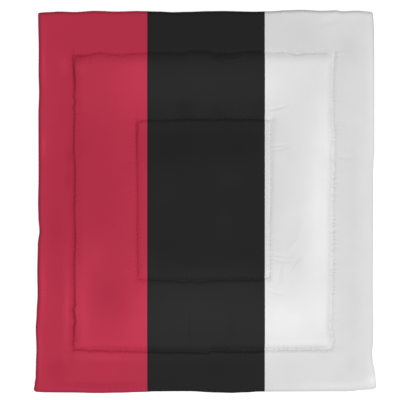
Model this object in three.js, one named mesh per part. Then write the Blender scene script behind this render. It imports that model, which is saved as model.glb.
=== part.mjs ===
// A filled comforter lying flat on its backing, seen from above with the head end at +Y.
// Millimetres, +Z up. The face cloth, filling and backing are sewn through along two rectangles and
// closed by a knife edge seam, so the whole is one solid that is drawn in along those lines.
import * as THREE from 'three';

// Size of the comforter between its straight side lines, and how the quilting divides it
const bodyWidth = 2012;
const bodyLength = 2286;
const outerQuilt = { left: -785, right: 760, foot: -895, head: 883 };
const innerQuilt = { left: -410, right: 381, foot: -470, head: 491 };

// Heights above the surface that it lies on, where it is sewn and where it is fullest
const edgeSeam = { top: 12, bottom: 9 };
const outerSeam = { top: 14, bottom: 10 };
const innerSeam = { top: 26, bottom: 22 };
const centreFull = 58;

// How far from a line the cloth takes to reach its full height
const edgeSwell = 75;
const borderSwell = 110;
const outerSwell = 130;
const innerSwell = 62;
const underSwell = 30;

// Distances from a sewn line where the surface needs its own rows of points, and the widest row
const closeRows = [9, 30, 70];
const widestRow = 115;

// How full the filling lies on each side: in the border, and in the ring between the two
// rectangles beside its outer line and beside its inner one
const fullness = [
  { side: 'left', border: 45, ringOuter: 50, ringInner: 55 },
  { side: 'right', border: 43, ringOuter: 48, ringInner: 58 },
  { side: 'foot', border: 46, ringOuter: 60, ringInner: 52 },
  { side: 'head', border: 41, ringOuter: 44, ringInner: 57 },
];

// Broad rises (+) and hollows (-) of the filling: middle, radius and height
const unevenness = [
  { x: -560, y: 60, reach: 150, rise: -5 },
  { x: -600, y: -430, reach: 170, rise: -4 },
  { x: -560, y: 560, reach: 170, rise: 3 },
  { x: 600, y: -720, reach: 150, rise: 3 },
  { x: 590, y: 80, reach: 170, rise: 3 },
  { x: 480, y: -190, reach: 110, rise: -4 },
  { x: -40, y: -640, reach: 150, rise: -4 },
  { x: 60, y: 690, reach: 190, rise: 3 },
  { x: -130, y: 230, reach: 150, rise: 2 },
  { x: 180, y: 60, reach: 120, rise: -3 },
  { x: -60, y: -240, reach: 140, rise: -3 },
  { x: 470, y: 1030, reach: 120, rise: -5 },
  { x: 760, y: 1060, reach: 90, rise: 3 },
  { x: 890, y: 240, reach: 110, rise: -3 },
  { x: -900, y: 330, reach: 120, rise: -3 },
  { x: -890, y: -620, reach: 130, rise: 3 },
  { x: 900, y: -990, reach: 80, rise: -4 },
];

// Where each side leaves its straight line: place along it, and the distance outwards
const sideWander = {
  left: [
    { at: -1143, out: 27 }, { at: -1105, out: 21 }, { at: -1060, out: 15 }, { at: -980, out: 13 },
    { at: -895, out: 10 }, { at: -768, out: 14 }, { at: -685, out: 9 }, { at: -560, out: 3 },
    { at: -430, out: 5 }, { at: -264, out: 2 }, { at: -180, out: -8 }, { at: -96, out: -2 },
    { at: -12, out: 0 }, { at: 156, out: -3 }, { at: 535, out: -2 }, { at: 661, out: -6 },
    { at: 787, out: -3 }, { at: 913, out: -4 }, { at: 1143, out: 0 },
  ],
  right: [
    { at: -1143, out: 20 }, { at: -1105, out: 18 }, { at: -1063, out: 15 }, { at: -1021, out: 9 },
    { at: -979, out: -2 }, { at: -915, out: -5 }, { at: -852, out: 0 }, { at: -726, out: 2 },
    { at: -642, out: 0 }, { at: -558, out: -2 }, { at: -222, out: 1 }, { at: 156, out: 1 },
    { at: 240, out: 3 }, { at: 283, out: 8 }, { at: 703, out: 8 }, { at: 997, out: 7 },
    { at: 1081, out: 3 }, { at: 1143, out: -2 },
  ],
  foot: [
    { at: -1006, out: -6 }, { at: -990, out: 3 }, { at: -940, out: 6 }, { at: -808, out: 7 },
    { at: -640, out: 10 }, { at: -514, out: 8 }, { at: -388, out: 4 }, { at: -304, out: 0 },
    { at: -178, out: -1 }, { at: -94, out: -1 }, { at: 74, out: 7 }, { at: 159, out: 9 },
    { at: 243, out: 6 }, { at: 327, out: 1 }, { at: 831, out: 0 }, { at: 873, out: -2 },
    { at: 915, out: -8 }, { at: 957, out: -11 }, { at: 1006, out: -14 },
  ],
  head: [
    { at: -1006, out: -13 }, { at: -952, out: -9 }, { at: -868, out: -5 }, { at: -784, out: -8 },
    { at: -658, out: -1 }, { at: -532, out: -5 }, { at: -406, out: -2 }, { at: -280, out: -5 },
    { at: -196, out: -9 }, { at: -112, out: -7 }, { at: 14, out: -3 }, { at: 98, out: -2 },
    { at: 285, out: -6 }, { at: 375, out: -4 }, { at: 477, out: 2 }, { at: 561, out: 5 },
    { at: 687, out: -1 }, { at: 771, out: 2 }, { at: 813, out: -4 }, { at: 897, out: 0 },
    { at: 1006, out: -7 },
  ],
};

// Where each quilting line leaves its own straight line, read in the same way
const outerWander = {
  left: [
    { at: -895, out: 5 }, { at: -846, out: 6 }, { at: -702, out: -2 }, { at: -558, out: -2 },
    { at: -366, out: 0 }, { at: -240, out: -5 }, { at: -30, out: 0 }, { at: 66, out: -3 },
    { at: 210, out: -4 }, { at: 307, out: 3 }, { at: 451, out: 2 }, { at: 595, out: -2 },
    { at: 691, out: -2 }, { at: 883, out: 6 },
  ],
  right: [
    { at: -895, out: -7 }, { at: -846, out: -1 }, { at: -750, out: -12 }, { at: -606, out: -8 },
    { at: -390, out: -4 }, { at: -78, out: -3 }, { at: 307, out: 6 }, { at: 403, out: 7 },
    { at: 547, out: -3 }, { at: 643, out: -1 }, { at: 739, out: 0 }, { at: 883, out: 10 },
  ],
  foot: [
    { at: -785, out: -8 }, { at: -730, out: -7 }, { at: -682, out: -3 }, { at: -538, out: 0 },
    { at: -334, out: 4 }, { at: -238, out: 8 }, { at: -142, out: 5 }, { at: -94, out: 9 },
    { at: 2, out: 11 }, { at: 50, out: 1 }, { at: 195, out: 4 }, { at: 267, out: 6 },
    { at: 375, out: -3 }, { at: 567, out: -7 }, { at: 711, out: -9 }, { at: 760, out: -10 },
  ],
  head: [
    { at: -785, out: -15 }, { at: -730, out: -14 }, { at: -634, out: 1 }, { at: -538, out: -7 },
    { at: -334, out: 1 }, { at: -142, out: 1 }, { at: -94, out: 11 }, { at: 2, out: 11 },
    { at: 50, out: -2 }, { at: 147, out: -4 }, { at: 243, out: 8 }, { at: 291, out: 8 },
    { at: 471, out: 8 }, { at: 519, out: 2 }, { at: 711, out: 7 }, { at: 760, out: 3 },
  ],
};
const innerWander = {
  left: [{ at: -470, out: 1 }, { at: 0, out: 0 }, { at: 491, out: 3 }],
  right: [
    { at: -470, out: -5 }, { at: -200, out: -4 }, { at: 138, out: 2 }, { at: 380, out: 1 },
    { at: 491, out: 8 },
  ],
  foot: [
    { at: -410, out: -5 }, { at: -334, out: 0 }, { at: -46, out: 6 }, { at: 50, out: 0 },
    { at: 291, out: -3 }, { at: 381, out: -13 },
  ],
  head: [
    { at: -410, out: -10 }, { at: -334, out: -2 }, { at: -286, out: -3 }, { at: -46, out: 4 },
    { at: 99, out: 3 }, { at: 291, out: 1 }, { at: 381, out: -3 },
  ],
};

// Radius of each rounded corner; the fourth corner, left at the foot, is a drawn-out point
const cornerRadius = [
  { across: 1, along: -1, radius: 24 },
  { across: -1, along: 1, radius: 9 },
  { across: 1, along: 1, radius: 15 },
];

// The three broad bands of the print, each up to its right-hand line
const bands = [
  { upTo: -349, color: '#b3334a' },
  { upTo: 354, color: '#282828' },
  { upTo: Infinity, color: '#dcdcdc' },
];

const halfWidth = bodyWidth / 2;
const halfLength = bodyLength / 2;
const outline = { left: -halfWidth, right: halfWidth, foot: -halfLength, head: halfLength };

// A table's distance at one place, easing from row to row
function wanderAt(table, place) {
  const next = table.findIndex((row) => row.at >= place);
  if (next === 0) return table[0].out;
  if (next < 0) return table[table.length - 1].out;
  const [before, after] = [table[next - 1], table[next]];
  const share = THREE.MathUtils.smoothstep(place, before.at, after.at);
  return THREE.MathUtils.lerp(before.out, after.out, share);
}

// The lines met on the way from the low side to the high side, with the way that each leaves its place
function linesBetween(low, high) {
  const line = (box, wander, side) => ({
    place: box[side],
    shift: (along) => (side === low ? -1 : 1) * wanderAt(wander[side], along),
  });
  return [
    line(outline, sideWander, low),
    line(outerQuilt, outerWander, low),
    line(innerQuilt, innerWander, low),
    line(innerQuilt, innerWander, high),
    line(outerQuilt, outerWander, high),
    line(outline, sideWander, high),
  ];
}

const linesAcross = linesBetween('left', 'right');
const linesAlong = linesBetween('foot', 'head');

// A straight grid place moved with the lines that it lies between
function moved(place, lines, along) {
  const next = Math.max(1, lines.findIndex((line) => line.place >= place));
  const [before, after] = [lines[next - 1], lines[next]];
  const share = (place - before.place) / (after.place - before.place);
  return place + THREE.MathUtils.lerp(before.shift(along), after.shift(along), share);
}

// Rows of points from line to line, close together beside each line
function rowsOf(lines) {
  const rows = [lines[0].place];
  for (let i = 1; i < lines.length; i += 1) {
    const [from, to] = [lines[i - 1].place, lines[i].place];
    const reach = closeRows[closeRows.length - 1];
    const steps = Math.max(1, Math.round((to - from - 2 * reach) / widestRow));
    const middle = (to - from - 2 * reach) / steps;
    closeRows.forEach((row) => rows.push(from + row));
    for (let step = 1; step < steps; step += 1) rows.push(from + reach + step * middle);
    [...closeRows].reverse().forEach((row) => rows.push(to - row));
    rows.push(to);
  }
  return rows;
}

// Pulls the points in a corner's square onto its rounding
function roundCorners(u, v) {
  let [x, y] = [u, v];
  for (const { across, along, radius } of cornerRadius) {
    const p = 1 - (halfWidth - across * u) / radius;
    const q = 1 - (halfLength - along * v) / radius;
    if (p > 0 && q > 0) {
      x = across * (halfWidth - radius + radius * p * Math.sqrt(1 - (q * q) / 2));
      y = along * (halfLength - radius + radius * q * Math.sqrt(1 - (p * p) / 2));
    }
  }
  return [x, y];
}

// Rise of filled cloth at a distance from its sewn line, from 0 there to 1 at its full reach
function swell(distance, reach) {
  const share = THREE.MathUtils.clamp(distance / reach, 0, 1);
  return Math.sqrt(share * (2 - share));
}

const insets = (box, u, v) => [u - box.left, box.right - u, v - box.foot, box.head - v];
const insetOf = (box, u, v) => Math.min(...insets(box, u, v));
const swellInside = (box, u, v, reach) =>
  insets(box, u, v).reduce((product, inset) => product * swell(inset, reach), 1);

// Distance from a box to a point outside it
function outsideOf(box, u, v) {
  const du = Math.max(box.left - u, 0, u - box.right);
  const dv = Math.max(box.foot - v, 0, v - box.head);
  return Math.hypot(du, dv);
}

// A column of the fullness table at one place, easing round the corners from side to side
function fullnessAt(column, u, v) {
  const [a, b] = [u / halfWidth, v / halfLength];
  const weights = [-a, a, -b, b].map((lean) => Math.max(lean, 0) ** 4 + 1e-6);
  const total = weights.reduce((sum, weight) => sum + weight);
  return fullness.reduce((sum, row, i) => sum + (row[column] * weights[i]) / total, 0);
}

function unevennessAt(u, v) {
  return unevenness.reduce((sum, { x, y, reach, rise }) => {
    const distance = Math.hypot(u - x, v - y) / reach;
    return sum + rise * Math.exp(-distance * distance);
  }, 0);
}

// Height of the face cloth
function topAt(u, v) {
  const { lerp } = THREE.MathUtils;
  const toOuter = insetOf(outerQuilt, u, v);
  const toInner = insetOf(innerQuilt, u, v);
  let [base, full, rise] = [innerSeam.top, centreFull, 1];
  if (toInner >= 0) {
    rise = swellInside(innerQuilt, u, v, innerSwell);
  } else if (toOuter >= 0) {
    const fromInner = outsideOf(innerQuilt, u, v);
    const share = toOuter / (toOuter + fromInner);
    base = lerp(outerSeam.top, innerSeam.top, share);
    full = lerp(fullnessAt('ringOuter', u, v), fullnessAt('ringInner', u, v), share);
    rise = swellInside(outerQuilt, u, v, outerSwell) * swell(fromInner, innerSwell);
  } else {
    const fromOuter = outsideOf(outerQuilt, u, v);
    const inset = insetOf(outline, u, v);
    base = lerp(edgeSeam.top, outerSeam.top, inset / (inset + fromOuter));
    full = fullnessAt('border', u, v);
    rise = swellInside(outline, u, v, edgeSwell) * swell(fromOuter, borderSwell);
  }
  return base + (full + unevennessAt(u, v) - base) * rise;
}

// Height of the backing: flat on the surface, lifted only under the sewn lines and at the edge
function bottomAt(u, v) {
  const fromOuter = Math.max(insetOf(outerQuilt, u, v), outsideOf(outerQuilt, u, v));
  const fromInner = Math.max(insetOf(innerQuilt, u, v), outsideOf(innerQuilt, u, v));
  return Math.max(
    edgeSeam.bottom * (1 - swell(insetOf(outline, u, v), underSwell)),
    outerSeam.bottom * (1 - swell(fromOuter, underSwell)),
    innerSeam.bottom * (1 - swell(fromInner, underSwell)),
  );
}

function comforterGeometry() {
  const across = rowsOf(linesAcross);
  const along = rowsOf(linesAlong);
  const points = [];
  const colors = [];
  const faces = [];
  const layerSize = across.length * along.length;
  const top = (i, j) => j * across.length + i;
  const bottom = (i, j) => layerSize + top(i, j);

  for (const heightAt of [topAt, bottomAt]) {
    for (const v of along) {
      for (const u of across) {
        const [roundU, roundV] = roundCorners(u, v);
        const x = moved(roundU, linesAcross, v);
        const y = moved(roundV, linesAlong, u);
        points.push(x, y, heightAt(u, v));
        colors.push(...new THREE.Color(bands.find((band) => x < band.upTo).color).toArray());
      }
    }
  }
  const quad = (a, b, c, d) => faces.push(a, b, c, a, c, d);
  const [lastI, lastJ] = [across.length - 1, along.length - 1];
  for (let j = 0; j < lastJ; j += 1) {
    for (let i = 0; i < lastI; i += 1) {
      quad(top(i, j), top(i + 1, j), top(i + 1, j + 1), top(i, j + 1));
      quad(bottom(i, j), bottom(i, j + 1), bottom(i + 1, j + 1), bottom(i + 1, j));
    }
  }
  // The closing seam joins the two cloths all round
  for (let i = 0; i < lastI; i += 1) {
    quad(bottom(i, 0), bottom(i + 1, 0), top(i + 1, 0), top(i, 0));
    quad(bottom(i + 1, lastJ), bottom(i, lastJ), top(i, lastJ), top(i + 1, lastJ));
  }
  for (let j = 0; j < lastJ; j += 1) {
    quad(bottom(0, j + 1), bottom(0, j), top(0, j), top(0, j + 1));
    quad(bottom(lastI, j), bottom(lastI, j + 1), top(lastI, j + 1), top(lastI, j));
  }

  const geometry = new THREE.BufferGeometry();
  geometry.setAttribute('position', new THREE.Float32BufferAttribute(points, 3));
  geometry.setAttribute('color', new THREE.Float32BufferAttribute(colors, 3));
  geometry.setIndex(faces);
  geometry.computeVertexNormals();

  // The origin is on the surface it lies on, under the middle of its outline
  geometry.computeBoundingBox();
  const middle = geometry.boundingBox.getCenter(new THREE.Vector3());
  geometry.translate(-middle.x, -middle.y, 0);
  return geometry;
}

const cloth = new THREE.MeshStandardMaterial({
  vertexColors: true,
  roughness: 0.92,
  metalness: 0,
});
const comforter = new THREE.Mesh(comforterGeometry(), cloth);
comforter.name = 'comforter';

const part = new THREE.Group();
part.add(comforter);

export default part;
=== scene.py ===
import math

import bpy
import numpy as np
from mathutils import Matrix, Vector


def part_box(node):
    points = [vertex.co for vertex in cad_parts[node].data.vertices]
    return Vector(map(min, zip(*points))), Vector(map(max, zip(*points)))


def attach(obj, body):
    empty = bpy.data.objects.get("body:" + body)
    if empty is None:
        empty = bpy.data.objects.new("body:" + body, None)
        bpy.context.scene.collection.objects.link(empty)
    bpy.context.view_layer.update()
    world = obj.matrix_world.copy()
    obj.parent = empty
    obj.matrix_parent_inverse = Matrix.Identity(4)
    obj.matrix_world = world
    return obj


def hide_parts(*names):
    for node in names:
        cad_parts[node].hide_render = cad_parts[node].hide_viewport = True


# A filled comforter spread flat on a pale floor, seen from straight above.
# Lengths are in metres, except in the tables that say mm.
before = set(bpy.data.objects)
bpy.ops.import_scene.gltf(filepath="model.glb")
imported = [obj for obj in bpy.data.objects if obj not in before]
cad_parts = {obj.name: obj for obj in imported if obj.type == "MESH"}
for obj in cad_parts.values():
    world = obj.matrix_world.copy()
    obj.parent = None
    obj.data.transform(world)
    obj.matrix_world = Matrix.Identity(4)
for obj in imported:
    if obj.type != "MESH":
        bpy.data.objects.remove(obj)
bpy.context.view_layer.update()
scene = bpy.context.scene
print("frame loaded")


def addObject(name, data):
    item = bpy.data.objects.new(name, data)
    scene.collection.objects.link(item)
    return item


# Camera: straight above, far enough for the photo's field at the height of the closing seam
cameraSetup = {
    "lens": 100.0,              # mm
    "sensor": 36.0,             # mm
    "imagePixels": 400,         # the photo's frame, square
    "pixelSize": 0.006005,      # what one of its pixels covers on the comforter
    "middlePixel": (205.6, 201.05),   # where the middle of the straight outline falls in it
    "focusHeight": 0.012,
    "sightEnd": 200,
}


def addCamera(setup, middle):
    data = bpy.data.cameras.new("overheadCamera")
    data.lens = setup["lens"]
    data.sensor_width = setup["sensor"]
    data.clip_end = setup["sightEnd"]
    camera = addObject("overheadCamera", data)
    pixels, size = setup["imagePixels"], setup["pixelSize"]
    distance = pixels * size * setup["lens"] / setup["sensor"]
    column, row = setup["middlePixel"]
    camera.location = (
        middle[0] + (pixels / 2 - column) * size,
        middle[1] - (pixels / 2 - row) * size,
        setup["focusHeight"] + distance,
    )
    scene.camera = camera


# The comforter: its size, how it is quilted and how full it is
comforter = {
    "width": 2.012,             # between the straight side lines
    "length": 2.286,
    "outerQuilt": {"left": -0.785, "right": 0.760, "foot": -0.895, "head": 0.883},
    "innerQuilt": {"left": -0.410, "right": 0.381, "foot": -0.470, "head": 0.491},
    "edgeHeight": 0.0105,       # where face and backing meet
    "outerSeam": (0.021, 0.0245),    # backing and face at the stitches
    "innerSeam": (0.029, 0.0330),
    "centreLevel": 0.048,
    "centreReach": 0.030,
    "centreCrown": 0.008,       # how much fuller the centre is in its middle
    "bandCrown": 0.002,         # the same for border and ring, midway between their lines
    "lip": 0.007,               # width of the short steep start of each rise beside its stitches
    "underReach": 0.030,        # half the width of the channels in the backing
    "rolledEdge": 0.0022,       # how far the cloth rolls out past its closing seam
    "rollReach": 0.012,         # and how wide this roll is
    "coarseStep": 0.024,        # widest mesh spacing, halved towards the seams
    "fill": 0.5,
    "seed": 7,
}

# How the filled cloth rises from each line: its height once risen, the distance it rises in, in mm
swelling = {
    "left": {"edge": (40, 26), "border": (38, 22), "ringOuter": (54, 65), "ringInner": (48, 32)},
    "right": {"edge": (38, 26), "border": (38, 26), "ringOuter": (54, 60), "ringInner": (49, 35)},
    "foot": {"edge": (39, 26), "border": (39, 20), "ringOuter": (55, 62), "ringInner": (52, 35)},
    "head": {"edge": (38, 26), "border": (39, 20), "ringOuter": (55, 65), "ringInner": (50, 60)},
}
# How much of each rise is its steep start, in thousandths
lipShares = {"left": 330, "right": 20, "foot": 40, "head": 110}

# Painted light and shade on border and ring beside each line, in hundredths
paintedShadeOnBands = {
    "left": {"edge": 4, "border": -6, "ringOuter": -2, "ringInner": 0},
    "right": {"edge": 3, "border": -2, "ringOuter": 11, "ringInner": -1},
    "foot": {"edge": -2, "border": 2, "ringOuter": 14, "ringInner": 13},
    "head": {"edge": -6, "border": -7, "ringOuter": 4, "ringInner": 3},
}
# Painted light and shade along the lines, and a painted dark rim at the closing edge: line, reach in mm,
# tones inside and outside it
paintedShadeAlongLines = [
    ("outer", 26, {"left": (8, -6), "right": (-7, 2), "foot": (-19, 6), "head": (-2, 0)}),
    ("outer", 8, {"left": (-14, -12), "right": (4, 14), "foot": (8, 10), "head": (4, 1)}),
    ("inner", 18, {"left": (-2, 0), "right": (-1, 0), "foot": (4, 6), "head": (0, 0)}),
    ("inner", 8, {"left": (6, -1), "right": (7, 9), "foot": (8, 12), "head": (11, 9)}),
    ("edge", 12.8, {"left": (-63, 0), "right": (-8, 0), "foot": (-28, 0), "head": (-50, 0)}),
]
# Patches of painted light and shade: middle x and y, reach across and along, in mm, and tone in hundredths
paintedShadePatches = [
    (-200, 330, 220, 130, -11),
    (200, 340, 180, 110, -10),
    (135, 140, 80, 70, 6),
    (-250, 40, 70, 90, 4),
    (110, -130, 50, 100, 5),
    (290, -80, 60, 200, -3),
    (-226, -276, 55, 50, -6),
    (245, -300, 80, 80, -6),
    (-330, -410, 45, 100, 7),
    (0, -100, 360, 300, -3),
    (0, -440, 300, 45, 12),
    (0, 690, 480, 140, 17),
    (-127, 545, 50, 50, -10),
    (70, 535, 45, 40, -7),
    (-300, 530, 50, 25, -5),
    (310, 550, 35, 50, -4),
    (60, 866, 70, 18, -7),
    (0, 885, 300, 13, 7),
    (0, -680, 500, 160, 17),
    (-96, -740, 10, 100, -8),
    (152, -750, 35, 100, -7),
    (-90, -600, 120, 35, 3),
    (125, -880, 24, 13, -8),
    (-100, -902, 80, 10, -6),
    (240, -868, 60, 7, -8),
    (250, -882, 50, 6, 8),
    (0, -895, 300, 15, 15),
    (0, -935, 300, 30, 3),
    (0, -1010, 280, 80, -3),
    (-430, 680, 90, 200, 3),
    (-420, 800, 90, 50, 5),
    (-740, 800, 30, 30, 6),
    (-750, 868, 35, 16, -13),
    (-785, 770, 7, 100, -28),
    (-785, -735, 7, 110, -22),
    (-410, 390, 7, 110, -22),
    (-768, -620, 12, 220, 13),
    (-725, 360, 50, 90, -5),
    (-640, 100, 130, 380, -7),
    (-655, -330, 70, 90, 7),
    (-530, -615, 130, 165, -13),
    (-700, -650, 60, 300, 4),
    (-742, -620, 35, 240, 13),
    (-829, -630, 18, 260, 18),
    (-846, 830, 30, 50, 10),
    (-850, 550, 30, 80, -4),
    (-815, 270, 20, 60, -8),
    (-825, 120, 22, 70, -7),
    (-900, 20, 75, 340, -7),
    (-895, -200, 50, 100, -6),
    (-970, 835, 12, 140, 14),
    (-970, 342, 12, 75, 15),
    (-968, -520, 14, 150, 13),
    (-982, -900, 14, 140, 11),
    (-600, -893, 220, 12, 5),
    (-610, -934, 180, 20, 11),
    (-876, -1015, 60, 60, -9),
    (-620, -1095, 300, 20, -9),
    (380, 680, 60, 150, 1),
    (385, -650, 50, 120, -3),
    (640, 680, 120, 180, -5),
    (600, 890, 200, 14, -6),
    (380, 485, 22, 12, -9),
    (375, -462, 20, 15, -9),
    (700, 430, 45, 150, 6),
    (670, -100, 65, 420, 10),
    (530, -360, 35, 50, -5),
    (455, -420, 12, 50, -4),
    (600, -680, 180, 160, 2),
    (600, -893, 200, 22, -8),
    (985, 660, 20, 300, 7),
    (873, -985, 40, 40, -5),
    (995, -1030, 25, 70, 10),
    (990, -1085, 45, 28, 14),
    (800, -1105, 200, 18, 7),
    (540, -730, 60, 60, 4),
    (885, -50, 32, 600, -3),
    (900, -650, 50, 200, -3),
    (730, 1060, 70, 50, 3),
    (820, 1110, 200, 35, 5),
    (860, 920, 60, 90, -4),
]

# Broad rises and hollows of the filling: middle x and y, radius, height, in mm
unevenness = [
    (-560, 60, 150, -5),
    (-600, -430, 170, -4),
    (-560, 560, 170, 3),
    (600, -720, 150, 3),
    (590, 80, 170, 3),
    (480, -190, 110, -4),
    (-40, -640, 150, -4),
    (60, 690, 190, 3),
    (-130, 230, 150, 2),
    (180, 60, 120, -3),
    (-60, -240, 140, -3),
    (470, 1030, 120, -5),
    (760, 1060, 90, 3),
    (890, 240, 110, -3),
    (-900, 330, 120, -3),
    (-890, -620, 130, 3),
    (900, -990, 80, -4),
]

# Where each side and quilting line leaves its straight line: place along it, distance outwards, in mm
sideWander = {
    "left": [(-1143, 27), (-1105, 21), (-1060, 15), (-980, 13), (-895, 10), (-768, 14), (-685, 9),
             (-560, 3), (-430, 5), (-264, 2), (-180, -8), (-96, -2), (-12, 0), (156, -3), (535, -2),
             (661, -6), (787, -3), (913, -4), (1143, 0)],
    "right": [(-1143, 20), (-1105, 18), (-1063, 15), (-1021, 9), (-979, -2), (-915, -5), (-852, 0),
              (-726, 2), (-642, 0), (-558, -2), (-222, 1), (156, 1), (240, 3), (283, 8),
              (703, 8), (997, 7), (1081, 3), (1143, -2)],
    "foot": [(-1006, -6), (-990, 3), (-940, 6), (-808, 7), (-640, 10), (-514, 8), (-388, 4),
             (-304, 0), (-178, -1), (-94, -1), (74, 7), (159, 9), (243, 6), (327, 1), (831, 0),
             (873, -2), (915, -8), (957, -11), (1006, -14)],
    "head": [(-1006, -13), (-952, -9), (-868, -5), (-784, -8), (-658, -1), (-532, -5), (-406, -2),
             (-280, -5), (-196, -9), (-112, -7), (14, -3), (98, -2), (285, -6), (375, -4), (477, 2),
             (561, 5), (687, -1), (771, 2), (813, -4), (897, 0), (1006, -7)],
}
outerWander = {
    "left": [(-895, 5), (-863, 8), (-812, 3), (-768, 2), (-728, -4), (-690, 0), (-655, 3), (-622, -3),
             (-558, -2), (-366, 0), (-240, -5), (-30, 0), (66, -3), (210, -4), (307, 3), (451, 2),
             (540, -2), (572, 3), (606, -4), (640, 1), (691, -2), (883, 6)],
    "right": [(-895, -7), (-846, -1), (-750, -12), (-606, -8), (-390, -4), (-78, -3), (307, 6),
              (403, 7), (547, -3), (643, -1), (739, 0), (883, 10)],
    "foot": [(-785, -8), (-730, -7), (-682, -3), (-538, 0), (-334, 4), (-238, 8), (-142, 5),
             (-94, 9), (2, 11), (50, 1), (195, 4), (267, 6), (375, -3), (567, -7), (711, -9),
             (760, -10)],
    "head": [(-785, -15), (-730, -14), (-634, 1), (-538, -7), (-334, 1), (-142, 1), (-94, 11),
             (2, 11), (50, -2), (147, -4), (243, 8), (291, 8), (471, 8), (519, 2), (711, 7),
             (760, 3)],
}
innerWander = {
    "left": [(-470, 1), (0, 0), (491, 3)],
    "right": [(-470, -5), (-200, -4), (138, 2), (380, 1), (491, 8)],
    "foot": [(-410, -5), (-334, 0), (-46, 6), (50, 0), (291, -3), (381, -13)],
    "head": [(-410, -10), (-334, -2), (-286, -3), (-46, 4), (99, 3), (291, 1), (381, -3)],
}

# Rounded corners: side across, side along, radius. The fourth, left at the foot, is a point.
cornerRounds = [(1, -1, 0.024), (-1, 1, 0.009), (1, 1, 0.015)]

# Main creases: start, end, half width, depth (a ridge where it is below zero)
creases = [
    ((0.372, 0.548), (0.505, 0.586), 0.008, 0.0028),
    ((0.372, 0.532), (0.470, 0.552), 0.008, -0.0022),
    ((0.388, 0.332), (0.510, 0.342), 0.009, 0.0032),
    ((0.400, 0.306), (0.500, 0.324), 0.008, 0.0030),
    ((0.392, -0.322), (0.520, -0.345), 0.010, 0.0042),
    ((0.390, -0.352), (0.530, -0.372), 0.011, 0.0038),
    ((0.458, -0.390), (0.446, -0.505), 0.013, 0.0034),
    ((0.372, -0.535), (0.480, -0.572), 0.009, 0.0036),
    ((0.565, -0.330), (0.535, -0.430), 0.020, 0.0040),
    ((0.500, -0.300), (0.575, -0.205), 0.012, -0.0030),
    ((0.560, -0.375), (0.525, -0.440), 0.008, -0.0026),
    ((0.600, -0.120), (0.500, -0.300), 0.030, -0.0030),
    ((-0.094, -0.640), (-0.090, -0.840), 0.010, 0.0018),
    ((0.030, -0.590), (0.100, -0.660), 0.014, 0.0016),
    ((0.110, 0.842), (0.270, 0.876), 0.009, -0.0032),
    ((0.060, 0.850), (0.190, 0.836), 0.009, 0.0024),
    ((0.140, -0.874), (0.300, -0.886), 0.009, -0.0034),
    ((-0.170, 0.560), (-0.140, 0.620), 0.040, 0.0040),
    ((0.790, 0.265), (0.880, 0.255), 0.012, 0.0030),
    ((0.640, 1.050), (0.800, 1.105), 0.025, 0.0040),
    ((-0.760, -1.090), (-0.330, -1.095), 0.016, 0.0020),
]

creaseShape = {                 # in shares of a crease's length
    "bow": 0.04,
    "start": (-0.3, 0.35),      # from nothing to its full depth
    "end": (1.2, 0.5),          # the same from its other end
    "meshed": (-0.1, 1.1),      # how much of it has the finer mesh
}

# How far the cloth tucks up beside each line of stitches and beside the edge, inside and outside it
tucks = {
    "outer": {"left": (0.0004, 0.0007), "right": (0.0012, 0.0028), "foot": (0.0022, 0.0008),
              "head": (0.0020, 0.0009)},
    "inner": {"left": (0.0003, 0.0004), "right": (0.0003, 0.0015), "foot": (0.0012, 0.0003),
              "head": (0.0014, 0.0006)},
    "edge": {"left": (0.0018, 0), "right": (0.0012, 0), "foot": (0.0016, 0), "head": (0.0018, 0)},
}
# A Change is the distance along the seam in which the value before it becomes another
tuckShape = {
    "spacing": 0.0125,
    "reach": (0.006, 0.016),    # how far they run from the seam, at least and at most
    "reachChange": 0.03,
    "lean": 0.35,               # how far they slant, at most, for each metre from the seam
    "leanChange": 0.13,
    "stray": 0.011,             # how far they stray from even spacing
    "strayChange": 0.052,
    "tallest": 1.5,
    "bunching": 2.5,            # above 1 most of them are low, with tall ones in bunches
    "bunchChange": 0.055,
}

halfWidth = comforter["width"] / 2
halfLength = comforter["length"] / 2
outline = {"left": -halfWidth, "right": halfWidth, "foot": -halfLength, "head": halfLength}
boxes = {"edge": outline, "outer": comforter["outerQuilt"], "inner": comforter["innerQuilt"]}
wanders = {"edge": sideWander, "outer": outerWander, "inner": innerWander}


def smooth(low, high, value):
    share = np.clip((value - low) / (high - low), 0, 1)
    return share * share * (3 - 2 * share)


# Moves from the straight plan to the comforter's own uneven outline
def wanderAt(rows, place):
    at, out = np.array(rows, float).T * 0.001
    after = np.clip(np.searchsorted(at, place), 1, len(at) - 1)
    share = smooth(at[after - 1], at[after], place)
    return out[after - 1] * (1 - share) + out[after] * share


def linesBetween(low, high):
    lines = []
    for side, names in ((low, ("edge", "outer", "inner")), (high, ("inner", "outer", "edge"))):
        for name in names:
            sign = -1 if side == low else 1
            lines.append((boxes[name][side], sign, wanders[name][side]))
    return lines


linesAcross = linesBetween("left", "right")
linesAlong = linesBetween("foot", "head")


def moved(place, lines, along):
    result = place.copy()
    for before, after in zip(lines, lines[1:]):
        inside = (place >= before[0]) & (place <= after[0])
        share = (place[inside] - before[0]) / (after[0] - before[0])
        shiftBefore = before[1] * wanderAt(before[2], along[inside])
        shiftAfter = after[1] * wanderAt(after[2], along[inside])
        result[inside] = place[inside] + shiftBefore * (1 - share) + shiftAfter * share
    return result


def roundCorners(u, v):
    x, y = u.copy(), v.copy()
    for across, along, radius in cornerRounds:
        p = 1 - (halfWidth - across * u) / radius
        q = 1 - (halfLength - along * v) / radius
        near = (p > 0) & (q > 0)
        p, q = p[near], q[near]
        x[near] = across * (halfWidth - radius + radius * p * np.sqrt(1 - q * q / 2))
        y[near] = along * (halfLength - radius + radius * q * np.sqrt(1 - p * p / 2))
    return x, y


def planPlace(u, v):
    roundU, roundV = roundCorners(u, v)
    x = moved(roundU, linesAcross, v)
    y = moved(roundV, linesAlong, u)
    return x, y


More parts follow.
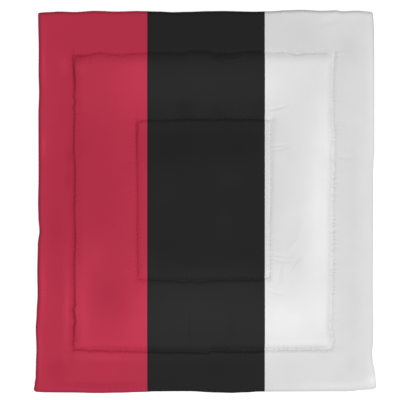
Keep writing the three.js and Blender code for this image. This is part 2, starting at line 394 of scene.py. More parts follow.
# Distances from the lines, on the straight plan
def insets(box, u, v):
    return [u - box["left"], box["right"] - u, v - box["foot"], box["head"] - v]


def insetOf(box, u, v):
    return np.minimum.reduce(insets(box, u, v))


def outsideOf(box, u, v):
    du = np.maximum.reduce([box["left"] - u, u - box["right"], np.zeros_like(u)])
    dv = np.maximum.reduce([box["foot"] - v, v - box["head"], np.zeros_like(v)])
    return np.hypot(du, dv)


def distanceTo(box, u, v):
    return np.maximum(insetOf(box, u, v), outsideOf(box, u, v))


# How far in from edge and outer stitches, and how far out from outer and inner ones
def distancesAt(u, v):
    inwards = [np.maximum(insetOf(boxes[name], u, v), 0) for name in ("edge", "outer")]
    return inwards + [outsideOf(boxes[name], u, v) for name in ("outer", "inner")]


# From 0 at a band's outer line to 1 at its inner one
def shareAcross(fromOutward, fromInward):
    return fromOutward / np.maximum(fromOutward + fromInward, 1e-9)


def nearestLine(u, v):
    return np.minimum.reduce([distanceTo(box, u, v) for box in boxes.values()])


# One value for each side, blended from side to side round the corners
def aroundSides(values, u, v, unit=0.001):
    a, b = u / halfWidth, v / halfLength
    leans = {"left": -a, "right": a, "foot": -b, "head": b}
    weights = {side: np.maximum(lean, 0) ** 4 + 1e-6 for side, lean in leans.items()}
    return unit * sum(values[side] * weights[side] for side in weights) / sum(weights.values())


# Rise of filled cloth beside its stitches: a short steep lip, then an easy slope
def swell(distance, reach, share):
    lip, easy = np.clip(distance / comforter["lip"], 0, 1), np.clip(distance / reach, 0, 1)
    return share * np.sqrt(lip * (2 - lip)) + (1 - share) * easy * (2 - easy)


# A round turn, for the face at the closing seam and for the channels in the backing
def roundOver(distance, reach):
    share = np.clip(distance / reach, 0, 1)
    return np.sqrt(share * (2 - share))


def risenInside(box, u, v, place, profile, *share):
    sides = ("left", "right", "foot", "head")
    return np.multiply.reduce([profile(d, swelling[side][place][1] * 0.001, *share)
                               for d, side in zip(insets(box, u, v), sides)])


def unevennessAt(u, v):
    return sum(rise * np.exp(-((u - x) ** 2 + (v - y) ** 2) / reach ** 2)
               for x, y, reach, rise in np.array(unevenness) / 1000)


# Height once risen, and the distance it rises in
def swellingFrom(place, u, v):
    return [aroundSides({side: swelling[side][place][k] for side in swelling}, u, v) for k in (0, 1)]


# Border or ring, between two quilted lines: from seam to seam, and up to its level between them
def bandHeight(u, v, share, places, seams, rise):
    seam = seams[0] * (1 - share) + seams[1] * share
    outward, inward = [swellingFrom(place, u, v)[0] for place in places]
    level = outward * (1 - share) + inward * share
    level = level + comforter["bandCrown"] * 4 * share * (1 - share)
    return seam + (level + unevennessAt(u, v) - seam) * rise


# Height of the face cloth before its creases and tucks, and how free it is to swell there
def faceHeight(u, v):
    outer, inner = boxes["outer"], boxes["inner"]
    toEdge, toOuter, fromOuter, fromInner = distancesAt(u, v)
    edgeTop = comforter["edgeHeight"]
    outerTop, innerTop = comforter["outerSeam"][1], comforter["innerSeam"][1]
    lip = aroundSides(lipShares, u, v)

    rise = np.multiply.reduce([swell(np.maximum(d, 0), comforter["centreReach"], lip)
                               for d in insets(inner, u, v)])
    across, along = [np.clip((place - inner[low]) / (inner[high] - inner[low]), 0, 1)
                     for place, low, high in ((u, "left", "right"), (v, "foot", "head"))]
    level = comforter["centreLevel"] + unevennessAt(u, v)
    level = level + comforter["centreCrown"] * 16 * across * (1 - across) * along * (1 - along)
    height = innerTop + (level - innerTop) * rise

    inRing = (fromInner > 0) & (fromOuter == 0)
    share = shareAcross(toOuter, fromInner)
    ringRise = risenInside(outer, u, v, "ringOuter", swell, lip)
    ringRise = ringRise * swell(fromInner, swellingFrom("ringInner", u, v)[1], lip)
    ring = bandHeight(u, v, share, ("ringOuter", "ringInner"), (outerTop, innerTop), ringRise)
    height, rise = np.where(inRing, ring, height), np.where(inRing, ringRise, rise)

    inBorder = fromOuter > 0
    share = shareAcross(toEdge, fromOuter)
    borderRise = risenInside(outline, u, v, "edge", roundOver)
    borderRise = borderRise * swell(fromOuter, swellingFrom("border", u, v)[1], lip)
    border = bandHeight(u, v, share, ("edge", "border"), (edgeTop, outerTop), borderRise)
    return np.where(inBorder, border, height), np.where(inBorder, borderRise, rise)


# Painted light and shade of the face cloth, as a share of its colour
def paintedShadeAt(u, v):
    def between(outward, inward, share):
        low, high = [aroundSides({side: paintedShadeOnBands[side][place] for side in paintedShadeOnBands}, u, v, 0.01)
                     for place in (outward, inward)]
        return low * (1 - share) + high * share
    toEdge, toOuter, fromOuter, fromInner = distancesAt(u, v)
    ring = between("ringOuter", "ringInner", shareAcross(toOuter, fromInner))
    border = between("edge", "border", shareAcross(toEdge, fromOuter))
    paintedTone = np.where(fromOuter > 0, border, np.where(fromInner > 0, ring, 0))
    for name, reach, sides in paintedShadeAlongLines:
        inside, outside = [aroundSides({side: sides[side][k] for side in sides}, u, v, 0.01)
                           for k in (0, 1)]
        away = distanceTo(boxes[name], u, v) * 1000
        within = insetOf(boxes[name], u, v) >= 0
        paintedTone = paintedTone + np.where(within, inside, outside) * np.exp(-(away / reach) ** 2)
    for x, y, across, along, lighter in paintedShadePatches:
        away = ((u * 1000 - x) / across) ** 2 + ((v * 1000 - y) / along) ** 2
        paintedTone = paintedTone + 0.01 * lighter * np.exp(-away)
    return paintedTone


def backHeight(u, v):
    heights = [(outline, comforter["edgeHeight"]), (boxes["outer"], comforter["outerSeam"][0]),
               (boxes["inner"], comforter["innerSeam"][0])]
    return np.maximum.reduce([
        height * (1 - roundOver(distanceTo(box, u, v), comforter["underReach"]))
        for box, height in heights
    ])


def creaseDepth(u, v):
    depth = np.zeros_like(u)
    for (u0, v0), (u1, v1), halfBreadth, deep in creases:
        du, dv = u1 - u0, v1 - v0
        length = math.hypot(du, dv)
        along = ((u - u0) * du + (v - v0) * dv) / length
        bow = creaseShape["bow"] * length * np.sin(np.clip(along / length, 0, 1) * math.pi)
        across = ((u - u0) * dv - (v - v0) * du) / length - bow
        past = np.maximum(np.maximum(-along, along - length), 0)
        ease = smooth(*[share * length for share in creaseShape["start"]], along)
        ease = ease * smooth(*[share * length for share in creaseShape["end"]], along)
        depth -= deep * ease * np.exp(-(across ** 2 + past ** 2) / halfBreadth ** 2)
    return depth


waveValues = 600                # more than the longest seam needs
lowestValue = 0.25


# A smooth random line: one value for each spacing, swinging from ridge to hollow
def randomWave(place, spacing, random, swinging=True):
    values = random.uniform(lowestValue, 1, waveValues)
    if swinging:
        values[1::2] *= -1
    step = place / spacing + waveValues // 2
    index = np.clip(np.floor(step).astype(int), 0, waveValues - 2)
    share = smooth(0, 1, step - index)
    return values[index] * (1 - share) + values[index + 1] * share


def tuckHeight(u, v):
    height = np.zeros_like(u)
    random = np.random.RandomState(comforter["seed"])
    shape = tuckShape
    shortest, longest = shape["reach"]
    for name, box in boxes.items():
        for side, (inside, outside) in tucks[name].items():
            upright = side in ("left", "right")
            line, along, across = box[side], (v if upright else u), (u if upright else v)
            ends = (box["foot"], box["head"]) if upright else (box["left"], box["right"])
            outward = (across - line) * (1 if side in ("right", "head") else -1)
            past = np.maximum.reduce([ends[0] - along, along - ends[1], np.zeros_like(u)])
            away = np.hypot(outward, past)
            place = along + shape["lean"] * outward * randomWave(along, shape["leanChange"], random)
            place = place + shape["stray"] * randomWave(along, shape["strayChange"], random)
            wave = randomWave(place, shape["spacing"], random)
            longer = randomWave(along, shape["reachChange"], random, False)
            reach = shortest + (longest - shortest) * longer
            bunches = randomWave(along, shape["bunchChange"], random, False) ** shape["bunching"]
            strength = np.where(outward > 0, outside, inside) * shape["tallest"] * bunches
            height += strength * wave * (away / reach) * np.exp(1 - away / reach)
    return height


# Mesh: square cells over the straight plan, split towards the stitches and the edge
def planStops(lines, step, finest):
    stops = [np.array([lines[0][0]])]
    for before, after in zip(lines, lines[1:]):
        count = max(1, round((after[0] - before[0]) / step)) * finest
        stops.append(np.linspace(before[0], after[0], count + 1)[1:])
    return np.concatenate(stops)


finest = 8
stopsU = planStops(linesAcross, comforter["coarseStep"], finest)
stopsV = planStops(linesAlong, comforter["coarseStep"], finest)
# Cells this near a line are halved again: first all of them, then nearer and nearer
faceSplits = [10.0, 0.040, 0.010]
backSplits = [0.034]
cellSlack = 0.0015              # added to this for each finest step that a cell is wide
creaseSlack = 0.3               # creases count as this much of their half width away


def nearestDetail(u, v):
    nearest = nearestLine(u, v)
    for (u0, v0), (u1, v1), halfBreadth, _ in creases:
        du, dv = u1 - u0, v1 - v0
        along = np.clip(((u - u0) * du + (v - v0) * dv) / (du * du + dv * dv),
                        *creaseShape["meshed"])
        away = np.hypot(u - u0 - along * du, v - v0 - along * dv) - halfBreadth
        nearest = np.minimum(nearest, np.maximum(away, 0) + creaseSlack * halfBreadth)
    return nearest


def splitCells(splits, detail):
    i, j = np.meshgrid(np.arange(0, len(stopsU) - 1, finest), np.arange(0, len(stopsV) - 1, finest))
    cells = np.stack([i.ravel(), j.ravel()], 1)
    size, done = finest, []
    for reach in splits:
        u = (stopsU[cells[:, 0]] + stopsU[cells[:, 0] + size]) / 2
        v = (stopsV[cells[:, 1]] + stopsV[cells[:, 1] + size]) / 2
        split = detail(u, v) < reach + cellSlack * size
        done.append((cells[~split], size))
        half = size // 2
        corners = [(0, 0), (half, 0), (0, half), (half, half)]
        cells = np.concatenate([cells[split] + corner for corner in corners])
        size = half
    return done + [(cells, size)]


# Each cell's outline takes in the points that its finer neighbours put on its sides
def cellFaces(groups, pointAt, upwards):
    faces = []
    for cells, size in groups:
        ring = [(k, 0) for k in range(size)] + [(size, k) for k in range(size)]
        ring += [(size - k, size) for k in range(size)] + [(0, size - k) for k in range(size)]
        if not upwards:
            ring.reverse()
        ring = np.array(ring)
        points = pointAt[cells[:, None, 0] + ring[:, 0], cells[:, None, 1] + ring[:, 1]]
        faces += [[p for p in row if p >= 0] for row in points.tolist()]
    return faces


def numberPoints(groups, pointAt, start):
    used = pointAt >= 0
    for cells, size in groups:
        for di, dj in ((0, 0), (size, 0), (0, size), (size, size)):
            used[cells[:, 0] + di, cells[:, 1] + dj] = True
    new = used & (pointAt < 0)
    pointAt[new] = start + np.arange(new.sum())
    i, j = np.nonzero(new)
    return stopsU[i], stopsV[j]


faceGroups = splitCells(faceSplits, nearestDetail)
facePoints = -np.ones((len(stopsU), len(stopsV)), int)
faceU, faceV = numberPoints(faceGroups, facePoints, 0)
faceFaces = cellFaces(faceGroups, facePoints, True)

# The backing shares the face cloth's points along the closing seam
backPoints = -np.ones_like(facePoints)
for rim in (np.s_[0, :], np.s_[-1, :], np.s_[:, 0], np.s_[:, -1]):
    backPoints[rim] = facePoints[rim]
backGroups = splitCells(backSplits, nearestLine)
backU, backV = numberPoints(backGroups, backPoints, len(faceU))
backFaces = cellFaces(backGroups, backPoints, False)
print("plan cut:", len(faceU), "points on the face,", len(backU), "on the backing")


def faceSurface(u, v):
    x, y = planPlace(u, v)
    height, rise = faceHeight(u, v)
    z = height + rise * creaseDepth(u, v) + tuckHeight(u, v)
    share = np.clip(insetOf(outline, u, v) / comforter["rollReach"], 0, 1)
    roll = comforter["rolledEdge"] * np.sin(share * math.pi)
    beside = halfWidth - np.abs(u) < halfLength - np.abs(v)
    x = x + roll * np.sign(u) * beside
    y = y + roll * np.sign(v) * ~beside
    return np.stack([x, y, z], 1)


facePlaces = faceSurface(faceU, faceV)
backX, backY = planPlace(backU, backV)
backPlaces = np.stack([backX, backY, backHeight(backU, backV)], 1)

# Both are centred on the frame's own outline
clothLow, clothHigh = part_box("comforter")
clothMiddle = (np.array(clothLow) + np.array(clothHigh)) / 2
planMiddle = (facePlaces.max(0) + facePlaces.min(0)) / 2
shift = np.array([clothMiddle[0] - planMiddle[0], clothMiddle[1] - planMiddle[1], 0])
facePlaces = facePlaces + shift
backPlaces = backPlaces + shift


# Cloth simulation: beside the quilting the face cloth is a little too long and finds its own folds
settling = {
    "frames": 12,
    "quality": 4,
    "stiffness": 12.0,
    "bending": 4.0,
    "mass": 0.25,
    "damping": 2.0,
    "spare": 0.045,             # extra length of cloth beside the stitches, at most
    "spareReach": 0.045,
    "simulated": 0.056,         # nothing further than this from the quilting is simulated
    "heldFar": 0.60,            # how firmly the filling holds the cloth, away from and beside stitches
    "heldNear": 0.05,
    "firmBand": 0.008,          # where the simulated strip ends, this much of it stays put
    "farthest": 0.007,          # no point moves further than this
    "crisp": (-0.002, 0.008),   # from hardly to freely moving, by the distance from the stitches
    "clumpSize": 0.06,          # spare cloth comes in clumps
    "clumpPlace": (1.7, 1.3),
    "clumpStrength": 1.6,
    "weightLevels": 40,
}


def addWeights(piece, name, weights):
    group = piece.vertex_groups.new(name=name)
    levels = settling["weightLevels"]
    steps = np.round(weights * levels).astype(int)
    for step in np.unique(steps):
        group.add(np.nonzero(steps == step)[0].tolist(), step / levels, "REPLACE")


def fromQuilting(u, v):
    return np.minimum(np.abs(distanceTo(boxes["outer"], u, v)), np.abs(distanceTo(boxes["inner"], u, v)))


def settleFace(places, faces, u, v):
    away = fromQuilting(u, v)
    kept = away < settling["simulated"]
    number = np.cumsum(kept) - 1
    keptFaces = [number[face].tolist() for face in map(np.array, faces) if kept[face].all()]
    start, away = places[kept], away[kept]
    mesh = bpy.data.meshes.new("faceTrial")
    mesh.from_pydata(start.tolist(), [], keptFaces)
    trial = addObject("faceTrial", mesh)
    near = 1 - smooth(0, settling["spareReach"], away)
    held = settling["heldFar"] + (settling["heldNear"] - settling["heldFar"]) * near
    firm = (away < 1e-6) | (away > settling["simulated"] - settling["firmBand"])
    addWeights(trial, "held", np.where(firm, 1.0, held))
    random = np.random.RandomState(comforter["seed"] + 1)
    clumps = settling["clumpStrength"]
    for place, offset in zip((u[kept], v[kept]), settling["clumpPlace"]):
        clumps = clumps * randomWave(place + offset, settling["clumpSize"], random, False)
    addWeights(trial, "snug", 1 - near * np.clip(clumps, 0, 1))
    modifier = trial.modifiers.new("settle", "CLOTH")
    cloth = modifier.settings
    cloth.quality = settling["quality"]
    cloth.mass = settling["mass"]
    cloth.tension_stiffness = cloth.compression_stiffness = settling["stiffness"]
    cloth.shear_stiffness = settling["stiffness"] / 2
    cloth.bending_stiffness = settling["bending"]
    cloth.air_damping = settling["damping"]
    cloth.vertex_group_mass = "held"
    cloth.vertex_group_shrink = "snug"
    cloth.shrink_min = -settling["spare"]
    cloth.shrink_max = 0.0
    cloth.effector_weights.gravity = 0
    modifier.collision_settings.use_collision = False
    modifier.collision_settings.use_self_collision = False
    modifier.point_cache.frame_start = 1
    modifier.point_cache.frame_end = settling["frames"]
    for number in range(1, settling["frames"] + 1):
        scene.frame_set(number)
    settled = trial.evaluated_get(bpy.context.evaluated_depsgraph_get())
    flat = np.zeros(len(start) * 3, np.float32)
    settled.data.vertices.foreach_get("co", flat)
    scene.frame_set(1)
    bpy.data.objects.remove(trial)
    bpy.data.meshes.remove(mesh)
    move = (flat.reshape(-1, 3) - start) * smooth(*settling["crisp"], away)[:, None]
    size = np.linalg.norm(move, axis=1, keepdims=True)
    print("settled:", len(start), "points moved up to", round(float(size.max()) * 1000, 1), "mm, mean",
          round(float(size.mean()) * 1000, 2), "mm")
    farthest = settling["farthest"]
    result = places.copy()
    result[kept] = start + move * np.minimum(1, farthest / np.maximum(size, farthest))
    return result


facePlaces = settleFace(facePlaces, faceFaces, faceU, faceV)


def buildComforter():
    mesh = bpy.data.meshes.new("comforterCloth")
    places = np.concatenate([facePlaces, backPlaces])
    mesh.from_pydata(places.tolist(), [], faceFaces + backFaces)
    cloth = mesh.uv_layers.new(name="cloth")       # metres of cloth from the middle of the plan
    plan = np.stack([np.concatenate([faceU, backU]), np.concatenate([faceV, backV])], 1)
    corners = np.zeros(len(mesh.loops), int)
    mesh.loops.foreach_get("vertex_index", corners)
    cloth.data.foreach_set("uv", plan[corners].ravel().astype(np.float32))
    for name, domain, values in (
        # painted light and shade on the face cloth, none on the backing
        ("napAndPaintedShade", "POINT", [paintedShadeAt(faceU, faceV), np.zeros(len(backU))]),
        ("backing", "FACE", [np.zeros(len(faceFaces)), np.ones(len(backFaces))]),
    ):
        attribute = mesh.attributes.new(name, "FLOAT", domain)
        attribute.data.foreach_set("value", np.concatenate(values).astype(np.float32))
    mesh.shade_smooth()
    mesh.validate()
    return addObject("comforterCloth", mesh)


cloth = buildComforter()
print("comforter built:", sum(len(p.vertices) - 2 for p in cloth.data.polygons), "triangles")


# Stitches: short curved threads along both quilting rectangles, on the face and on the backing
stitching = {
    "length": 0.0042,
    "gap": 0.0016,
    "thread": 0.0011,
    "raise": 0.0004,            # how far the thread stands off the cloth
    "sunk": 0.7,                # how deep its ends go in, in widths of thread
    "archSteps": 4,
    "threadSides": 5,
    "lean": 0.10,               # how far single stitches turn from the line, in radians
    "seed": 3,
}


def quiltPath(name, points, places):
    # points of one rectangle in order round it
    box = boxes[name]
    iLow, iHigh = [int(np.argmin(abs(stopsU - box[side]))) for side in ("left", "right")]
    jLow, jHigh = [int(np.argmin(abs(stopsV - box[side]))) for side in ("foot", "head")]
    walk = [(i, jLow) for i in range(iLow, iHigh)] + [(iHigh, j) for j in range(jLow, jHigh)]
    walk += [(i, jHigh) for i in range(iHigh, iLow, -1)] + [(iLow, j) for j in range(jHigh, jLow, -1)]
    found = [points[i, j] for i, j in walk if points[i, j] >= 0]
    return places[np.array(found)]


def addPath(data, places, lift):
    spline = data.splines.new("POLY")
    spline.points.add(len(places) - 1)
    lifted = np.column_stack([places[:, :2], places[:, 2] + lift, np.ones(len(places))])
    spline.points.foreach_set("co", lifted.ravel())
    spline.use_cyclic_u = True


def groupTree(name, kind, inputs, outputs):
    tree = bpy.data.node_groups.new(name, kind)
    for way, sockets in (("INPUT", inputs), ("OUTPUT", outputs)):
        for label, carries in sockets.items():
            tree.interface.new_socket(label, in_out=way, socket_type="NodeSocket" + carries)
    return tree, tree.nodes.new("NodeGroupInput"), tree.nodes.new("NodeGroupOutput")


# Each input takes a value or the output of another node
def setInputs(tree, node, values):
    for label, value in values.items():
        if isinstance(value, bpy.types.NodeSocket):
            tree.links.new(value, node.inputs[label])
        else:
            node.inputs[label].default_value = value


def addNode(tree, kind, values={}, **settings):
    node = tree.nodes.new(kind)
    for label, value in settings.items():
        setattr(node, label, value)
    setInputs(tree, node, values)
    return node


def mathNode(tree, operation, *values):
    return addNode(tree, "ShaderNodeMath", dict(enumerate(values)), operation=operation).outputs[0]


def stitchTree(material):
    tree, entry, leave = groupTree("runningStitch", "GeometryNodeTree", {
        "Geometry": "Geometry", "Length": "Float", "Gap": "Float", "Thread": "Float", "Lean": "Float",
        "Seed": "Int",
    }, {"Geometry": "Geometry"})
    line, length, gap, thick, lean, seed = list(entry.outputs)[:6]
    pitch = mathNode(tree, "ADD", length, gap)
    marks = addNode(tree, "GeometryNodeCurveToPoints", {"Curve": line, "Length": pitch}, mode="LENGTH")

    # one stitch: a low arch with both ends in the cloth
    sink = mathNode(tree, "MULTIPLY", thick, -stitching["sunk"])
    start, end = [addNode(tree, "ShaderNodeCombineXYZ", {
        "X": mathNode(tree, "MULTIPLY", length, half), "Z": sink}) for half in (-0.5, 0.5)]
    crown = addNode(tree, "ShaderNodeCombineXYZ", {"Z": thick})
    arch = addNode(tree, "GeometryNodeCurveQuadraticBezier", {
        "Resolution": stitching["archSteps"],
        "Start": start.outputs[0], "Middle": crown.outputs[0], "End": end.outputs[0]})
    ring = addNode(tree, "GeometryNodeCurvePrimitiveCircle", {
        "Resolution": stitching["threadSides"], "Radius": mathNode(tree, "MULTIPLY", thick, 0.5)})
    thread = addNode(tree, "GeometryNodeCurveToMesh", {
        "Fill Caps": True, "Curve": arch.outputs[0], "Profile Curve": ring.outputs[0]})

    # turned along the line, upright, each with a small lean of its own
    forward = addNode(tree, "FunctionNodeAlignRotationToVector", {
        "Vector": marks.outputs["Tangent"]}, axis="X")
    upright = addNode(tree, "FunctionNodeAlignRotationToVector", {
        "Vector": (0, 0, 1), "Rotation": forward.outputs[0]}, axis="Z", pivot_axis="X")
    chance = addNode(tree, "FunctionNodeRandomValue", {"Seed": seed}, data_type="FLOAT")
    least, most = [k for k, s in enumerate(chance.inputs) if s.type == "VALUE"][:2]
    setInputs(tree, chance, {least: mathNode(tree, "MULTIPLY", lean, -1), most: lean})
    turn = addNode(tree, "ShaderNodeCombineXYZ", {
        "Z": [s for s in chance.outputs if s.type == "VALUE"][0]})
    turned = addNode(tree, "FunctionNodeRotateRotation", {
        0: upright.outputs[0], 1: turn.outputs[0]}, rotation_space="LOCAL")

    sewn = addNode(tree, "GeometryNodeInstanceOnPoints", {
        "Points": marks.outputs["Points"], "Instance": thread.outputs[0], "Rotation": turned.outputs[0]})
    real = addNode(tree, "GeometryNodeRealizeInstances", {"Geometry": sewn.outputs[0]})
    dyed = addNode(tree, "GeometryNodeSetMaterial", {"Geometry": real.outputs[0], "Material": material})
    setInputs(tree, leave, {"Geometry": dyed.outputs[0]})
    return tree


def sewStitches(name, paths, lift, tree):
    data = bpy.data.curves.new(name + "Path", "CURVE")
    data.dimensions = "3D"
    for places in paths:
        addPath(data, places, lift)
    path = addObject(name + "Path", data)
    modifier = path.modifiers.new("stitches", "NODES")
    modifier.node_group = tree
    sockets = {s.name: s.identifier for s in tree.interface.items_tree if s.in_out == "INPUT"}
    for label in ("Length", "Gap", "Thread", "Lean", "Seed"):
        modifier[sockets[label]] = stitching[label.lower()]
    evaluated = path.evaluated_get(bpy.context.evaluated_depsgraph_get())
    mesh = bpy.data.meshes.new_from_object(evaluated)
    path.modifiers.clear()
    bpy.data.objects.remove(path)
    mesh.name = name
    mesh.shade_smooth()
    print(name, "sewn:", len(mesh.polygons), "faces")
    return addObject(name, mesh)


# Colours of the print and how the cloth is finished
clothFinish = {
    "leftLine": -0.349,         # where red meets charcoal and charcoal meets white, before the shift
    "rightLine": 0.354,
    "red": (0.473, 0.0289, 0.0641, 1),
    "charcoal": (0.0147, 0.0147, 0.0149, 1),
    "white": (0.715, 0.715, 0.715, 1),
    "backing": (0.70, 0.70, 0.70, 1),
    "roughness": 0.70,
    "specular": 0.10,
    "sheen": 0.05,
    "sheenRoughness": 0.45,
    "threadPitch": 0.00062,     # one yarn of the weave
    "weaveDepth": 0.00005,
    "napDepth": 0.00008,
    "fibres": (1400, 3, 0.6),   # noise: its scale, detail and roughness
    "patches": (5.5, 3, 0.55, 0.10),    # noise as before, and how strongly it shows
    "grain": (260, 2, 0.5, 0.05),
    "twist": (900, 2, 0.5, 0.3),    # of the quilting thread
    "threadDarker": 0.80,
    "threadRoughness": 0.6,
    "threadSheen": 0.1,
    "charcoalPaintedShade": 1.9,         # how much more the painted shade shows on the charcoal band
    "paintedShadeDeepening": 0.05,          # how much fuller the red is where the painted shade is dark
}


# Node group: which band of the print a point lies in
def printedBands():
    tree, entry, leave = groupTree("printedBands", "ShaderNodeTree", {
        "Place": "Vector", "Left line": "Float", "Right line": "Float",
        "Left colour": "Color", "Middle colour": "Color", "Right colour": "Color",
    }, {"Colour": "Color", "Middle": "Float"})
    split = addNode(tree, "ShaderNodeSeparateXYZ", {0: entry.outputs["Place"]})
    colour = entry.outputs["Left colour"]
    passed = []
    for line, after in (("Left line", "Middle colour"), ("Right line", "Right colour")):
        passed.append(mathNode(tree, "GREATER_THAN", split.outputs["X"], entry.outputs[line]))
        mix = addNode(tree, "ShaderNodeMix", {
            "Factor": passed[-1], "A": colour, "B": entry.outputs[after]}, data_type="RGBA")
        colour = mix.outputs["Result"]
    setInputs(tree, leave, {"Colour": colour, "Middle": mathNode(tree, "SUBTRACT", *passed)})
    return tree


def noiseNode(tree, place, scale, detail, roughness):
    return addNode(tree, "ShaderNodeTexNoise", {
        "Vector": place, "Scale": scale, "Detail": detail, "Roughness": roughness}).outputs["Fac"]


# A shade that strays round 1
def unevenShade(tree, place, kind):
    *noise, strength = kind
    return mathNode(tree, "MULTIPLY_ADD", noiseNode(tree, place, *noise), strength, 1 - strength / 2)


# Node group: plain weave under a short brushed nap, with the soft unevenness of a dyed cloth
def brushedWeave(finish):
    tree, entry, leave = groupTree("brushedWeave", "ShaderNodeTree", {
        "Cloth": "Vector", "Thread pitch": "Float", "Weave depth": "Float", "Nap depth": "Float",
    }, {"Height": "Float", "Shade": "Float"})
    place = entry.outputs["Cloth"]
    split = addNode(tree, "ShaderNodeSeparateXYZ", {0: place})
    yarns = []
    for axis in ("X", "Y"):
        turn = mathNode(tree, "DIVIDE", split.outputs[axis], entry.outputs["Thread pitch"])
        yarns.append(mathNode(tree, "SINE", mathNode(tree, "MULTIPLY", turn, math.pi)))
    over = mathNode(tree, "MULTIPLY", *yarns)
    weave = mathNode(tree, "MULTIPLY", over, entry.outputs["Weave depth"])
    # here only the short fibres of the nap, as bump height
    napAndPaintedShade = noiseNode(tree, place, *finish["fibres"])
    fibres = mathNode(tree, "MULTIPLY", napAndPaintedShade, entry.outputs["Nap depth"])
    patches, grain = [unevenShade(tree, place, finish[kind]) for kind in ("patches", "grain")]
    setInputs(tree, leave, {
        "Height": mathNode(tree, "ADD", weave, fibres),
        "Shade": mathNode(tree, "MULTIPLY", patches, grain),
    })
    return tree


bandsGroup = printedBands()
weaveGroup = brushedWeave(clothFinish)


def bandColours(finish, share=1.0):
    def toned(colour):
        return tuple(c * share for c in colour[:3]) + (1,)
    return {
        "Left line": finish["leftLine"] + float(shift[0]),
        "Right line": finish["rightLine"] + float(shift[0]),
        "Left colour": toned(finish["red"]),
        "Middle colour": toned(finish["charcoal"]),
        "Right colour": toned(finish["white"]),
    }


def scaledColour(tree, colour, share):
    return addNode(tree, "ShaderNodeVectorMath", {0: colour, "Scale": share}, operation="SCALE").outputs[0]


def newMaterial(name):
    material = bpy.data.materials.new(name)
    material.use_nodes = True
    return material, material.node_tree, material.node_tree.nodes["Principled BSDF"]


def printedClothMaterial(finish):
    material, tree, shader = newMaterial("printedCloth")
    spot = addNode(tree, "ShaderNodeTexCoord")
    uv = addNode(tree, "ShaderNodeUVMap", uv_map="cloth")
    bands = addNode(tree, "ShaderNodeGroup", {
        "Place": spot.outputs["Object"], **bandColours(finish)}, node_tree=bandsGroup)
    weave = addNode(tree, "ShaderNodeGroup", {
        "Cloth": uv.outputs["UV"],
        "Thread pitch": finish["threadPitch"],
        "Weave depth": finish["weaveDepth"],
        "Nap depth": finish["napDepth"],
    }, node_tree=weaveGroup)
    backing, napAndPaintedShade = [addNode(tree, "ShaderNodeAttribute", attribute_name=name).outputs["Fac"]
                    for name in ("backing", "napAndPaintedShade")]
    sides = addNode(tree, "ShaderNodeMix", {
        "Factor": backing, "A": bands.outputs["Colour"], "B": finish["backing"]}, data_type="RGBA")
    # painted light and shade scale the colour, more strongly on the charcoal band
    stronger = mathNode(tree, "MULTIPLY_ADD", bands.outputs["Middle"], finish["charcoalPaintedShade"] - 1, 1)
    paintedTone = mathNode(tree, "MULTIPLY_ADD", napAndPaintedShade, stronger, 1)
    shade = mathNode(tree, "MULTIPLY", weave.outputs["Shade"], paintedTone)
    # painted shade: the colour turns fuller where the painted shade is dark, paler where it is light
    deepenedInShade = addNode(tree, "ShaderNodeHueSaturation", {
        "Saturation": mathNode(tree, "MULTIPLY_ADD", napAndPaintedShade, -finish["paintedShadeDeepening"], 1),
        "Color": sides.outputs["Result"],
    })
    bump = addNode(tree, "ShaderNodeBump", {"Distance": 1.0, "Height": weave.outputs["Height"]})
    setInputs(tree, shader, {
        "Base Color": scaledColour(tree, deepenedInShade.outputs["Color"], shade),
        "Normal": bump.outputs["Normal"],
        "Roughness": finish["roughness"],
        "Specular IOR Level": finish["specular"],
        "Sheen Weight": finish["sheen"],
        "Sheen Roughness": finish["sheenRoughness"],
    })
    return material


def threadMaterial(finish):
    material, tree, shader = newMaterial("quiltingThread")
    place = addNode(tree, "ShaderNodeTexCoord").outputs["Object"]
    bands = addNode(tree, "ShaderNodeGroup", {
        "Place": place, **bandColours(finish, finish["threadDarker"])}, node_tree=bandsGroup)
    twist = unevenShade(tree, place, finish["twist"])
    setInputs(tree, shader, {
        "Base Color": scaledColour(tree, bands.outputs["Colour"], twist),
        "Roughness": finish["threadRoughness"],
        "Sheen Weight": finish["threadSheen"],
    })
    return material


cloth.data.materials.append(printedClothMaterial(clothFinish))
stitch = stitchTree(threadMaterial(clothFinish))
allPlaces = np.concatenate([facePlaces, backPlaces])
faceStitches, backStitches = [
    sewStitches(name, [quiltPath(line, points, allPlaces) for line in ("outer", "inner")], lift, stitch)
    for name, points, lift in (("faceStitches", facePoints, stitching["raise"]),
                               ("backStitches", backPoints, -stitching["raise"]))
]


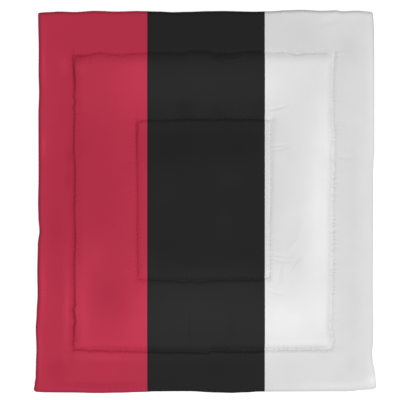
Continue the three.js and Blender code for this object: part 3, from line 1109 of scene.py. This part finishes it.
# Studio: pale floor, pale surroundings and soft lights
studio = {
    "floorSize": 60.0,
    "floorColour": (0.50, 0.50, 0.50, 1),
    "floorRoughness": 0.9,
    "floorGlow": 0.65,          # the floor is a light table, so shadows on it stay faint
    "air": 0.45,                # even light from all round
    "backdrop": 1.0,            # what shows beyond the floor
    "lightDistance": 22.0,
    "softLights": {
        # turned from +X towards the head, height above the floor in degrees, size, brightness on the floor
        "keySoftbox": (305, 50, 7.0, 0.20),
        "highSoftbox": (300, 86, 9.0, 0.35),
    },
}


def addStudio(setup):
    half = setup["floorSize"] / 2
    mesh = bpy.data.meshes.new("studioFloor")
    mesh.from_pydata([(-half, -half, 0), (half, -half, 0), (half, half, 0), (-half, half, 0)],
                     [], [(0, 1, 2, 3)])
    floor = addObject("studioFloor", mesh)
    material, tree, shader = newMaterial("paleFloor")
    setInputs(tree, shader, {
        "Base Color": setup["floorColour"],
        "Roughness": setup["floorRoughness"],
        "Emission Color": (1, 1, 1, 1),
        "Emission Strength": setup["floorGlow"],
    })
    mesh.materials.append(material)
    distance = setup["lightDistance"]
    for name, (turn, height, size, brightness) in setup["softLights"].items():
        turn, height = math.radians(turn), math.radians(height)
        towards = Vector((math.cos(height) * math.cos(turn), math.cos(height) * math.sin(turn),
                          math.sin(height)))
        data = bpy.data.lights.new(name, "AREA")
        data.shape = "SQUARE"
        data.size = size
        data.energy = brightness * (math.pi * distance) ** 2 / math.sin(height)
        light = addObject(name, data)
        light.location = towards * distance
        light.rotation_euler = (-towards).to_track_quat("-Z", "Y").to_euler()
        light.visible_camera = False
    world = bpy.data.worlds.new("paleAir")
    world.use_nodes = True
    tree = world.node_tree
    air, backdrop = tree.nodes["Background"], addNode(tree, "ShaderNodeBackground")
    for shade, strength in ((air, setup["air"]), (backdrop, setup["backdrop"])):
        setInputs(tree, shade, {"Color": (1, 1, 1, 1), "Strength": strength})
    ray = addNode(tree, "ShaderNodeLightPath")
    either = addNode(tree, "ShaderNodeMixShader", {
        0: ray.outputs["Is Camera Ray"], 1: air.outputs[0], 2: backdrop.outputs[0]})
    setInputs(tree, tree.nodes["World Output"], {"Surface": either.outputs[0]})
    scene.world = world
    return floor


floor = addStudio(studio)
addCamera(cameraSetup, shift)
scene.view_settings.view_transform = "Standard"
print("studio ready")

for piece in (cloth, faceStitches, backStitches):
    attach(piece, "root")
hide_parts("comforter")
